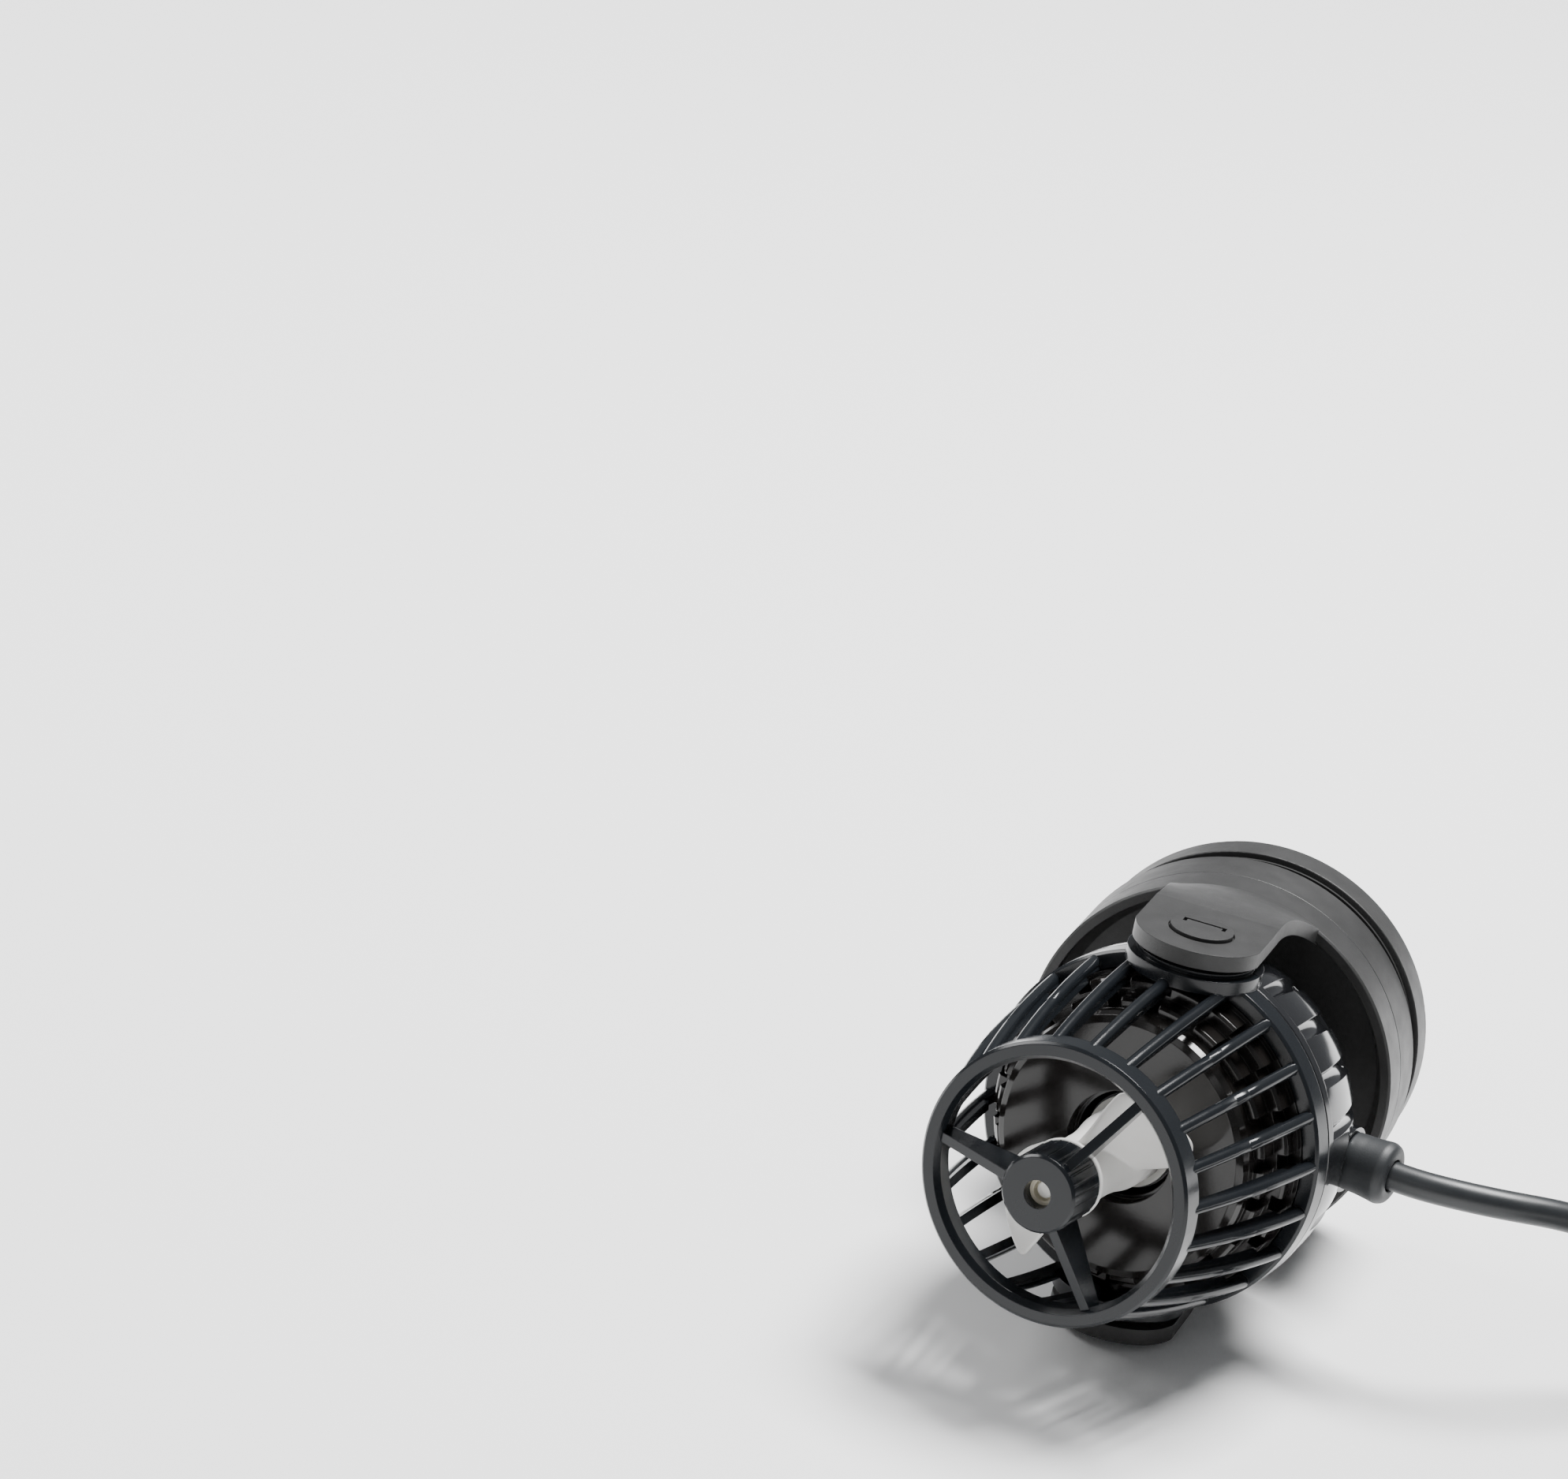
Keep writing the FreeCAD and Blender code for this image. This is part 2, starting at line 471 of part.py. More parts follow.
def pivot_cap():
    """Raised snap cap in the tab's pocket, with a bracket-shaped slot beside the pin's head."""
    cap = post(SNAP_R, TAB_TOP - CAP_POCKET_DEPTH, SNAP_TOP)
    cap = cap.cut(post(POST_R + POST_CLEARANCE, 30, TAB_TOP + 0.2))
    half, width, y = CAP_SLOT_LENGTH / 2, CAP_SLOT_WIDTH, CAP_SLOT_Y
    slots = [block(-half, half, y, y + width, TAB_TOP, SNAP_TOP + 1)]
    for end in (-half, half - width):
        slots.append(block(end, end + width, y - 1.2, y + width, TAB_TOP, SNAP_TOP + 1))
    return cap.cut(fused(slots))


# ---- magnet base
def cup(radius, front, back, fillet):
    """Round magnet shell, open at the front, with a small radius at the back edge."""
    outer = disc(radius, front, back)
    rounds = {front: SEAM_CHAMFER, back: fillet}
    for y, size in rounds.items():
        edges = [e for e in outer.Edges if max(abs(e.BoundBox.YMin - y), abs(e.BoundBox.YMax - y)) < 1e-6]
        outer = outer.makeFillet(size, edges)
    return outer.cut(disc(radius - WALL, front - 1, back - CUP_FLOOR))


def magnet_discs(y0):
    discs = []
    for k in range(MAGNET_COUNT):
        angle = math.radians(45 + 360.0 * k / MAGNET_COUNT)
        discs.append(disc(MAGNET_DISC_R, y0, y0 + MAGNET_THICKNESS,
                          MAGNET_PCD / 2 * math.cos(angle), MAGNET_PCD / 2 * math.sin(angle)))
    return Part.makeCompound(discs)


def back_plate(y0):
    return disc(PLATE_R, y0, y0 + PLATE_THICKNESS)


def off_centre(shape):
    moved = shape.copy()
    moved.translate(V(DRY_OFFSET_X, 0, DRY_OFFSET_Z))
    return moved


# ---- cable
def tube(points, radius):
    """Round cable along straight runs that tangent arcs join."""
    edges, here, radii = [], points[0], []
    for before, corner, after in zip(points, points[1:], points[2:]):
        into, out = corner - before, after - corner
        half_turn = into.getAngle(out) / 2
        reach = 0.45 * min(into.Length, out.Length)
        bend = reach / math.tan(half_turn)
        a = corner - V(into).normalize() * reach
        b = corner + V(out).normalize() * reach
        inwards = (a + b - corner * 2).normalize()
        middle = corner + inwards * (bend / math.cos(half_turn) - bend)
        edges += [Part.LineSegment(here, a).toShape(), Part.Arc(a, middle, b).toShape()]
        radii.append(round(bend, 1))
        here = b
    edges.append(Part.LineSegment(here, points[-1]).toShape())
    path = Part.Wire(edges)
    section = Part.Wire(Part.makeCircle(radius, points[0], points[1] - points[0]))
    body = path.makePipeShell([section], True, False)
    print("cable bend radii", radii, "length", round(path.Length, 1),
          "volume ratio", round(body.Volume / (math.pi * radius ** 2 * path.Length), 4))
    return body


def cable():
    """Free stretch from the gland to the coil, given from the pivot's foot on the floor."""
    start = in_row(V(CABLE_START_X, GLAND_Y, 0), PUMP_TURN)
    ahead = in_row(V(CABLE_START_X + CABLE_FIRST_RUN, GLAND_Y, 0), PUMP_TURN)
    return tube([start, ahead] + [foot + V(*p) for p in CABLE_POINTS], CABLE_R)


def standing_ring(outer, inner, z0, z1):
    centre = foot + V(COIL_X, COIL_Y, z0)
    return Part.makeCylinder(outer, z1 - z0, centre).cut(Part.makeCylinder(inner, z1 - z0, centre))


def cable_coil():
    """Outer shape of the put-away coil: two full layers and a single turn on top of them."""
    d = 2 * CABLE_R
    body = standing_ring(COIL_MID_R + 1.5 * d, COIL_MID_R - 1.5 * d, COIL_LIFT, COIL_LIFT + 2 * d)
    crown = standing_ring(COIL_MID_R + d / 2, COIL_MID_R - d / 2, COIL_LIFT + 2 * d, COIL_LIFT + 3 * d)
    gap = block(-CONNECTOR_BACK, 60, COIL_MID_R - 15, 60, 0, 40)
    return body.fuse(crown.cut(on_coil(gap)))


def on_coil(shape):
    """From the coil's own frame, X along the connector and Y outwards, to the row frame."""
    moved = about(shape, Z_AXIS, CONNECTOR_AZIMUTH)
    moved.translate(foot + V(COIL_X, COIL_Y, 0))
    return moved


def cable_tie():
    """Flat tie wrapped once round the coil's section."""
    d = 2 * CABLE_R
    inner, outer = COIL_MID_R - 1.5 * d - 0.5, COIL_MID_R + 1.5 * d + 0.1
    top = COIL_LIFT + 3 * d + 0.1
    t, w = TIE_THICKNESS, TIE_WIDTH / 2
    loop = block(inner - t, outer + t, -w, w, COIL_LIFT - t - 0.02, top + t)
    loop = loop.cut(block(inner, outer, -w, w, COIL_LIFT - 0.02, top))
    return on_coil(about(loop, Z_AXIS, TIE_AZIMUTH))


def along_connector(profile):
    """Turned shape from (distance from the cable's end, radius) points, laid on the coil."""
    body = polygon([(s, r, 0) for s, r in profile]).revolve(ORIGIN, X_AXIS, 360)
    body.translate(V(-CONNECTOR_BACK, CONNECTOR_OUT, COIL_LIFT + 4 * CABLE_R + CONNECTOR_R + 0.05))
    return on_coil(body)


def connector_body():
    """Boot that tapers on to the cable, a grip, and the shell round the pins."""
    return along_connector([(0, 0), (0, CABLE_R + 0.6), (7, 4.4), (7, 5.0), (17.5, 5.0), (17.5, 4.3),
                            (27, 4.3), (27, 3.5), (19, 3.5), (19, 0)])


def connector_nut():
    return along_connector([(17.8, 4.4), (17.8, CONNECTOR_R), (26, CONNECTOR_R), (26, 4.4)])


def connector_pins():
    pins = []
    for k in range(3):
        pin = Part.makeCylinder(0.5, 7.0, V(-CONNECTOR_BACK + 19.0, CONNECTOR_OUT, 0), X_AXIS)
        angle = math.radians(90 + 120 * k)
        pin.translate(V(0, 1.8 * math.cos(angle),
                        COIL_LIFT + 4 * CABLE_R + CONNECTOR_R + 0.05 + 1.8 * math.sin(angle)))
        pins.append(on_coil(pin))
    return Part.makeCompound(pins)


# ---- rest pose
PITCH = -math.degrees(math.atan2(SNAP_TOP - BASE_R, WET_BACK - SNAP_R))
PIVOT_HEIGHT = SNAP_TOP * math.cos(math.radians(PITCH)) - SNAP_R * math.sin(math.radians(PITCH))
foot = V(0, 0, 0)


def in_row(point, turn):
    """A point of the pump frame (turn PUMP_TURN) or the yoke frame (turn 0), in the row frame."""
    rotation = FreeCAD.Rotation(X_AXIS, PITCH) * FreeCAD.Rotation(Z_AXIS, turn)
    return rotation.multVec(point) + foot + V(0, 0, PIVOT_HEIGHT)


def placed(shape, turn):
    moved = shape.copy()
    moved.rotate(ORIGIN, Z_AXIS, turn)
    moved.rotate(ORIGIN, X_AXIS, PITCH)
    moved.translate(foot + V(0, 0, PIVOT_HEIGHT))
    return moved


PUMP_NODES = {
    "front_cage": front_cage,
    "nose_spider": nose_spider,
    "front_bush": front_bush,
    "propeller": propeller,
    "rotor_sleeve": rotor_sleeve,
    "rotor_magnet": rotor_magnet,
    "shaft": shaft,
    "front_thrust_washer": lambda: thrust_washer(HUB_BACK - 0.35),
    "rear_thrust_washer": lambda: thrust_washer(MAGNET_BACK + 0.2),
    "rear_bush": rear_bush,
    "motor_housing": motor_housing,
    "stator_core": stator_core,
    "coil_bobbins": coil_bobbins,
    "stator_coils": stator_coils,
    "terminal_board": terminal_board,
    "potting_plug": potting_plug,
    "housing_seal": housing_seal,
    "rear_housing": rear_housing,
    "cable_gland": cable_gland,
}
YOKE_NODES = {
    "yoke": yoke,
    "upper_pivot_washer": pivot_washer,
    "lower_pivot_washer": lambda: upside_down(pivot_washer()),
    "upper_pivot_cap": pivot_cap,
    "lower_pivot_cap": lambda: upside_down(pivot_cap()),
    "wet_magnet_cover": lambda: cup(BASE_R, YOKE_BACK, WET_BACK, WET_FILLET),
    "wet_back_plate": lambda: back_plate(WET_BACK - CUP_FLOOR - MAGNET_THICKNESS - PLATE_THICKNESS),
    "wet_magnets": lambda: magnet_discs(WET_BACK - CUP_FLOOR - MAGNET_THICKNESS),
    "wet_pad": lambda: disc(PAD_R, WET_BACK, WET_BACK + PAD_THICKNESS),
    "dry_pad": lambda: off_centre(disc(PAD_R, DRY_FRONT - PAD_THICKNESS, DRY_FRONT)),
    "dry_magnets": lambda: off_centre(magnet_discs(DRY_FRONT + 0.2)),
    "dry_back_plate": lambda: off_centre(back_plate(DRY_FRONT + 0.2 + MAGNET_THICKNESS)),
    "dry_magnet_cover": lambda: off_centre(cup(DRY_R, DRY_FRONT, DRY_BACK, DRY_FILLET)),
}
CABLE_NODES = {
    "cable": cable,
    "cable_coil": cable_coil,
    "cable_tie": cable_tie,
    "connector_body": connector_body,
    "connector_nut": connector_nut,
    "connector_pins": connector_pins,
}


def main():
    global foot
    os.makedirs(PARTS_FOLDER, exist_ok=True)
    object_nodes = {name: placed(make(), PUMP_TURN) for name, make in PUMP_NODES.items()}
    object_nodes.update({name: placed(make(), 0) for name, make in YOKE_NODES.items()})
    box = Part.makeCompound(list(object_nodes.values())).optimalBoundingBox(False, False)
    foot = V(-(box.XMin + box.XMax) / 2, -(box.YMin + box.YMax) / 2, 0)
    for shape in object_nodes.values():
        shape.translate(foot)
    nodes = dict(object_nodes)
    nodes.update({name: make() for name, make in CABLE_NODES.items()})
    for name, shape in nodes.items():
        if not shape.isValid() or shape.Volume <= 0:
            print("not valid:", name)
        print(name, "solids", len(shape.Solids), "volume", round(shape.Volume, 1))
        shape.exportStep(os.path.join(PARTS_FOLDER, name + ".step"))
    print("pitch", round(PITCH, 4), "pivot", in_row(ORIGIN, 0), "lowest", round(box.ZMin, 4))
    print("pivot axis", in_row(Z_AXIS, 0) - in_row(ORIGIN, 0))
    print("spin axis", in_row(V(0, -1, 0), PUMP_TURN) - in_row(ORIGIN, 0))
    print("base axis", in_row(Y_AXIS, 0) - in_row(ORIGIN, 0))
    print("box", [round(v, 3) for v in (box.XMin, box.XMax, box.YMin, box.YMax, box.ZMin, box.ZMax)])
    print("gland end", in_row(V(CABLE_START_X, GLAND_Y, 0), PUMP_TURN))


main()
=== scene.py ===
"""Looks of the wave maker pump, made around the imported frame. Pieces are shaped in millimetres in
the pump's own frame (Y along the turning axis with the propeller towards -Y, Z along the pivot)
and finished() puts them in the row frame in metres."""
import json
import math

import bmesh
import bpy
from mathutils import Matrix, Vector


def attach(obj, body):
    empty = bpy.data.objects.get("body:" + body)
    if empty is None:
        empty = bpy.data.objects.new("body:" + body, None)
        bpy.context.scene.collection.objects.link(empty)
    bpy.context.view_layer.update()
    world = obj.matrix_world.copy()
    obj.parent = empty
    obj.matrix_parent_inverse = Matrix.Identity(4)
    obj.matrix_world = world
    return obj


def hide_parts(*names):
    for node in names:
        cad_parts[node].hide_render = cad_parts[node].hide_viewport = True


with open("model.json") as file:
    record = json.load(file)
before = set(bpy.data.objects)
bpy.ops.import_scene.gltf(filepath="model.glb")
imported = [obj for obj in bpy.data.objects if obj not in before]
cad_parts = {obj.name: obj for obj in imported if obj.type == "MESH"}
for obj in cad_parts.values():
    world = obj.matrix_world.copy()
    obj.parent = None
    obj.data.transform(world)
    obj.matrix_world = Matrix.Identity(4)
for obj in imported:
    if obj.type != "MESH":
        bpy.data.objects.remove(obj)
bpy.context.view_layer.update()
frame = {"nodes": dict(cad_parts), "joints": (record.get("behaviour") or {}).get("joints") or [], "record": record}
MM = 0.001

# ---- frame: pivot, axes and the two local frames
JOINTS = {joint["name"]: joint for joint in frame["joints"]}
PIVOT = Vector(JOINTS["pump_tilt"]["pos_m"])
UP = Vector(JOINTS["pump_tilt"]["axis"]).normalized()
FORWARD = Vector(JOINTS["rotor_spin"]["axis"]).normalized()
FOOT = Vector((PIVOT.x, PIVOT.y, 0.0))
LEVEL = Vector((0.0, 0.0, 1.0))


def local_frame(origin, y_axis, z_axis):
    """Matrix from a local frame in millimetres to the row frame in metres."""
    x_axis = y_axis.cross(z_axis).normalized()
    turn = Matrix((x_axis, y_axis, z_axis)).transposed().to_4x4()
    return Matrix.Translation(origin) @ turn @ Matrix.Scale(MM, 4)


PUMP = local_frame(PIVOT, -FORWARD, UP)

# ---- camera
VIEW_AZIMUTH, VIEW_DOWN, VIEW_ROLL = 14.67, 23.22, 10.35     # degrees
VIEW_DISTANCE = 1.2444
PIVOT_RIGHT_OF_CENTRE, PIVOT_BELOW_CENTRE = 0.06745, 0.06969
LENS, SENSOR = 158.07, 36.0


def make_camera():
    azimuth, down, roll = (math.radians(a) for a in (VIEW_AZIMUTH, VIEW_DOWN, VIEW_ROLL))
    flat = Vector((-math.sin(azimuth), math.cos(azimuth), 0.0))
    forward = flat * math.cos(down) - LEVEL * math.sin(down)
    sideways = Vector((math.cos(azimuth), math.sin(azimuth), 0.0))
    right = sideways * math.cos(roll) + sideways.cross(forward) * math.sin(roll)
    up = right.cross(forward)
    place = PIVOT - right * PIVOT_RIGHT_OF_CENTRE + up * PIVOT_BELOW_CENTRE - forward * VIEW_DISTANCE
    data = bpy.data.cameras.new("camera")
    data.lens, data.sensor_width = LENS, SENSOR
    data.clip_start, data.clip_end = 0.05, 30.0
    camera = bpy.data.objects.new("camera", data)
    camera.matrix_world = Matrix.Translation(place) @ Matrix((right, up, -forward)).transposed().to_4x4()
    bpy.context.scene.collection.objects.link(camera)
    bpy.context.scene.camera = camera


make_camera()

# ---- lead: the route's points in millimetres, the free ones from the pivot's foot on the floor
LEAD_D = 5.5
GLAND_Y, CABLE_START_X, CABLE_FIRST_RUN = 17.3, 36.5, 6.4
CABLE_POINTS = ((53.2, 8.9, 38.7), (62.7, 11.4, 38.3), (73.5, 17.6, 36.8), (85.0, 26.8, 32.3),
                (97.0, 34.6, 24.2), (109.5, 38.6, 13.8), (122.5, 38.2, 6.4))
COIL_X, COIL_Y, COIL_MID_R, COIL_LIFT = 132.0, -2.0, 30.25, 0.7
TURN_POINTS = 16
COIL_START_ANGLE, CROWN_POINTS = 74.0, 13


def coil_turns():
    """Points of the put-away coil, clockwise: two layers of three turns and most of one on top."""
    layers = (1, 0, -1), (-1, 0, 1)
    grow = 1 / math.cos(math.pi / TURN_POINTS)       # the spline runs inside its points
    points, height = [], COIL_LIFT + LEAD_D / 2
    for layer in layers:
        for place, ahead in zip(layer, layer[1:] + layer[-1:]):
            for k in range(TURN_POINTS):
                share = k / TURN_POINTS
                radius = COIL_MID_R + LEAD_D * (place + (ahead - place) * share)
                rise = max(0.0, 2 * share - 1) if ahead == place else 0.0
                points.append((radius * grow, height + rise * LEAD_D))
        height += LEAD_D
    points += [(COIL_MID_R * grow, height)] * CROWN_POINTS
    centre, turned = FOOT + Vector((COIL_X, COIL_Y, 0.0)) * MM, []
    for k, (radius, z) in enumerate(points):
        angle = math.radians(COIL_START_ANGLE) - 2 * math.pi * k / TURN_POINTS
        turned.append(centre + Vector((radius * math.cos(angle), radius * math.sin(angle), z)) * MM)
    return turned


def make_lead():
    """The lead as one mesh tube round one NURBS line, from the gland to the connector."""
    start = PUMP @ Vector((CABLE_START_X, GLAND_Y, 0.0))
    ahead = PUMP @ Vector((CABLE_START_X + CABLE_FIRST_RUN, GLAND_Y, 0.0))
    points = [start, ahead] + [FOOT + Vector(p) * MM for p in CABLE_POINTS] + coil_turns()
    data = bpy.data.curves.new("lead_line", "CURVE")
    data.dimensions = "3D"
    data.resolution_u = 6
    spline = data.splines.new("NURBS")
    spline.points.add(len(points) - 1)
    for knot, p in zip(spline.points, points):
        knot.co = (*p, 1.0)
    spline.order_u = 3
    spline.use_endpoint_u = True
    line = bpy.data.objects.new("lead_line", data)
    path = [vertex.co.copy() for vertex in bpy.data.meshes.new_from_object(line).vertices]
    data.bevel_depth = LEAD_D / 2 * MM
    data.bevel_resolution = 8
    data.use_fill_caps = True
    tube = bpy.data.meshes.new_from_object(line)
    bpy.data.objects.remove(line)
    lead = bpy.data.objects.new("lead", tube)
    bpy.context.scene.collection.objects.link(lead)
    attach(lead, "pump")
    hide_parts("cable", "cable_coil")
    return lead, start, path


lead, lead_exit, lead_path = make_lead()


# ---- materials: node helpers
def new_material(name):
    material = bpy.data.materials.new(name)
    material.use_nodes = True
    tree = material.node_tree
    return material, tree, tree.nodes["Principled BSDF"]


def noise(tree, scale, detail=4.0, rough=0.55, stretch=None):
    coords = tree.nodes.new("ShaderNodeTexCoord").outputs["Object"]
    if stretch:
        mapping = tree.nodes.new("ShaderNodeMapping")
        mapping.inputs["Scale"].default_value = stretch
        tree.links.new(coords, mapping.inputs["Vector"])
        coords = mapping.outputs["Vector"]
    texture = tree.nodes.new("ShaderNodeTexNoise")
    texture.inputs["Scale"].default_value = scale
    texture.inputs["Detail"].default_value = detail
    texture.inputs["Roughness"].default_value = rough
    tree.links.new(coords, texture.inputs["Vector"])
    return texture.outputs["Fac"]


def bands(tree, scale, axis):
    """Straight bands across one axis of the row frame."""
    coords = tree.nodes.new("ShaderNodeTexCoord")
    wave = tree.nodes.new("ShaderNodeTexWave")
    wave.bands_direction = axis
    wave.inputs["Scale"].default_value = scale
    wave.inputs["Distortion"].default_value = 0.3
    tree.links.new(coords.outputs["Object"], wave.inputs["Vector"])
    return wave.outputs["Fac"]


def ramp(tree, factor, low, high, start=0.3, end=0.7):
    node = tree.nodes.new("ShaderNodeMapRange")
    node.inputs["From Min"].default_value = start
    node.inputs["From Max"].default_value = end
    node.inputs["To Min"].default_value = low
    node.inputs["To Max"].default_value = high
    tree.links.new(factor, node.inputs["Value"])
    return node.outputs["Result"]


def tint(tree, factor, dark, light, start=0.3, end=0.7):
    node = tree.nodes.new("ShaderNodeValToRGB")
    node.color_ramp.elements[0].position = start
    node.color_ramp.elements[0].color = (*dark, 1.0)
    node.color_ramp.elements[1].position = end
    node.color_ramp.elements[1].color = (*light, 1.0)
    tree.links.new(factor, node.inputs["Fac"])
    return node.outputs["Color"]


def bump(tree, factor, strength, distance, under=None):
    node = tree.nodes.new("ShaderNodeBump")
    node.inputs["Strength"].default_value = strength
    node.inputs["Distance"].default_value = distance
    tree.links.new(factor, node.inputs["Height"])
    if under is not None:
        tree.links.new(under, node.inputs["Normal"])
    return node.outputs["Normal"]


def soft_edges(tree, radius):
    """Normals that round every moulded edge over a small radius, in millimetres."""
    node = tree.nodes.new("ShaderNodeBevel")
    node.samples = 6
    node.inputs["Radius"].default_value = radius * MM
    return node.outputs["Normal"]


def rubbed_edges(tree, colour, edge_normal, lighter):
    """Mixes in a lighter colour where the rounded normal leaves the true one, along edges."""
    geometry = tree.nodes.new("ShaderNodeNewGeometry")
    dot = tree.nodes.new("ShaderNodeVectorMath")
    dot.operation = "DOT_PRODUCT"
    tree.links.new(edge_normal, dot.inputs[0])
    tree.links.new(geometry.outputs["Normal"], dot.inputs[1])
    worn = ramp(tree, dot.outputs["Value"], 0.55, 0.0, 0.86, 0.985)
    patchy = tree.nodes.new("ShaderNodeMath")
    patchy.operation = "MULTIPLY"
    tree.links.new(worn, patchy.inputs[0])
    tree.links.new(ramp(tree, noise(tree, 140.0), 0.3, 1.0), patchy.inputs[1])
    mix = tree.nodes.new("ShaderNodeMix")
    mix.data_type = "RGBA"
    tree.links.new(patchy.outputs["Value"], mix.inputs["Factor"])
    tree.links.new(colour, mix.inputs["A"])
    mix.inputs["B"].default_value = (*lighter, 1.0)
    return mix.outputs["Result"]


def moulded(name, dark, light, gloss, grain_scale, grain, ripple=0.0, coat=0.0, edge=0.25, shine=0.5,
            rubbed=None):
    """Moulded plastic or rubber: mottled colour, uneven gloss, fine grain, slow ripples, soft edges."""
    material, tree, shader = new_material(name)
    colour = tint(tree, noise(tree, 90.0), dark, light)
    normal = soft_edges(tree, edge)
    if rubbed:
        colour = rubbed_edges(tree, colour, normal, rubbed)
    tree.links.new(colour, shader.inputs["Base Color"])
    tree.links.new(ramp(tree, noise(tree, 220.0, 6.0), *gloss), shader.inputs["Roughness"])
    normal = bump(tree, noise(tree, grain_scale, 3.0), grain, 0.0001, normal)
    if ripple:
        normal = bump(tree, noise(tree, 60.0, 1.0), ripple, 0.001, normal)
    tree.links.new(normal, shader.inputs["Normal"])
    shader.inputs["Specular IOR Level"].default_value = shine
    shader.inputs["Coat Weight"].default_value = coat
    shader.inputs["Coat Roughness"].default_value = 0.06
    return material


def metal(name, dark, light, gloss, lines, axis):
    """Bare metal: uneven colour with fine rolled or stacked lines across one axis."""
    material, tree, shader = new_material(name)
    tree.links.new(tint(tree, noise(tree, 120.0), dark, light), shader.inputs["Base Color"])
    tree.links.new(ramp(tree, noise(tree, 300.0, 5.0), *gloss), shader.inputs["Roughness"])
    normal = bump(tree, bands(tree, lines, axis), 0.4, 0.0001, soft_edges(tree, 0.15))
    tree.links.new(normal, shader.inputs["Normal"])
    shader.inputs["Metallic"].default_value = 1.0
    return material


MATERIALS = {
    "guard_plastic": moulded(
        "guard_plastic", (0.0065, 0.0080, 0.0100), (0.0085, 0.0100, 0.0118), (0.16, 0.21), 2600.0, 0.06,
        ripple=0.03, shine=0.32),
    "cream_bush": moulded(
        "cream_bush", (0.55, 0.50, 0.38), (0.66, 0.62, 0.50), (0.35, 0.5), 2500.0, 0.1),
    "propeller_plastic": moulded(
        "propeller_plastic", (0.74, 0.73, 0.70), (0.82, 0.81, 0.79), (0.30, 0.44), 2500.0, 0.08,
        ripple=0.05, edge=0.1),
    "rotor_plastic": moulded(
        "rotor_plastic", (0.66, 0.65, 0.61), (0.74, 0.73, 0.69), (0.35, 0.5), 2500.0, 0.1),
    "motor_plastic": moulded(
        "motor_plastic", (0.0070, 0.0062, 0.0058), (0.0100, 0.0090, 0.0083), (0.12, 0.18), 1800.0, 0.04,
        ripple=0.08, shine=0.4),
    "housing_plastic": moulded(
        "housing_plastic", (0.0055, 0.0060, 0.0070), (0.0080, 0.0085, 0.0100), (0.09, 0.15), 1800.0,
        0.03, ripple=0.08, coat=0.3),
    "black_rubber": moulded(
        "black_rubber", (0.010, 0.012, 0.014), (0.014, 0.016, 0.018), (0.46, 0.58), 3000.0, 0.2),
    "yoke_plastic": moulded(
        "yoke_plastic", (0.022, 0.022, 0.022), (0.029, 0.029, 0.029), (0.38, 0.48), 4200.0, 0.35,
        shine=0.4, rubbed=(0.07, 0.07, 0.07)),
    "base_plastic": moulded(
        "base_plastic", (0.022, 0.022, 0.022), (0.029, 0.029, 0.029), (0.40, 0.50), 4200.0, 0.35,
        shine=0.4, rubbed=(0.07, 0.07, 0.07)),
    "washer_plastic": moulded(
        "washer_plastic", (0.010, 0.010, 0.010), (0.014, 0.014, 0.014), (0.4, 0.5), 3000.0, 0.1),
    "pad_rubber": moulded(
        "pad_rubber", (0.008, 0.008, 0.008), (0.012, 0.012, 0.012), (0.7, 0.85), 3000.0, 0.4),
    "cable_jacket": moulded(
        "cable_jacket", (0.011, 0.013, 0.015), (0.014, 0.016, 0.018), (0.36, 0.44), 3200.0, 0.1,
        edge=0.1),
    "tie_plastic": moulded(
        "tie_plastic", (0.012, 0.012, 0.012), (0.017, 0.017, 0.017), (0.5, 0.6), 3200.0, 0.4),
    "connector_plastic": moulded(
        "connector_plastic", (0.014, 0.014, 0.015), (0.019, 0.019, 0.020), (0.4, 0.5), 3200.0, 0.2),
    "bobbin_plastic": moulded(
        "bobbin_plastic", (0.70, 0.68, 0.60), (0.78, 0.76, 0.69), (0.4, 0.55), 2500.0, 0.1),
    "potting_resin": moulded(
        "potting_resin", (0.016, 0.016, 0.017), (0.026, 0.026, 0.027), (0.08, 0.22), 900.0, 0.1,
        ripple=0.4),
    "circuit_board": moulded(
        "circuit_board", (0.02, 0.12, 0.05), (0.03, 0.17, 0.07), (0.25, 0.4), 1500.0, 0.3),
    "shaft_ceramic": moulded(
        "shaft_ceramic", (0.80, 0.79, 0.75), (0.86, 0.85, 0.81), (0.08, 0.15), 3000.0, 0.03),
    "rotor_ferrite": moulded(
        "rotor_ferrite", (0.040, 0.041, 0.045), (0.065, 0.066, 0.070), (0.35, 0.6), 2200.0, 0.5),
    "lamination_steel": metal(
        "lamination_steel", (0.36, 0.36, 0.37), (0.48, 0.48, 0.49), (0.3, 0.5), 620.0, "Y"),
    "copper_wire": metal(
        "copper_wire", (0.55, 0.20, 0.08), (0.72, 0.30, 0.12), (0.2, 0.35), 900.0, "Z"),
    "plate_steel": metal(
        "plate_steel", (0.42, 0.42, 0.43), (0.52, 0.52, 0.53), (0.25, 0.45), 1500.0, "X"),
    "disc_magnets": metal(
        "disc_magnets", (0.62, 0.61, 0.58), (0.70, 0.69, 0.66), (0.08, 0.2), 400.0, "X"),
    "connector_brass": metal(
        "connector_brass", (0.70, 0.52, 0.22), (0.80, 0.62, 0.30), (0.15, 0.3), 900.0, "Z"),
}


# ---- mesh helpers
def new_mesh(points, faces):
    mesh = bpy.data.meshes.new("shape")
    mesh.from_pydata([tuple(p) for p in points], [], faces)
    mesh.validate()
    return mesh


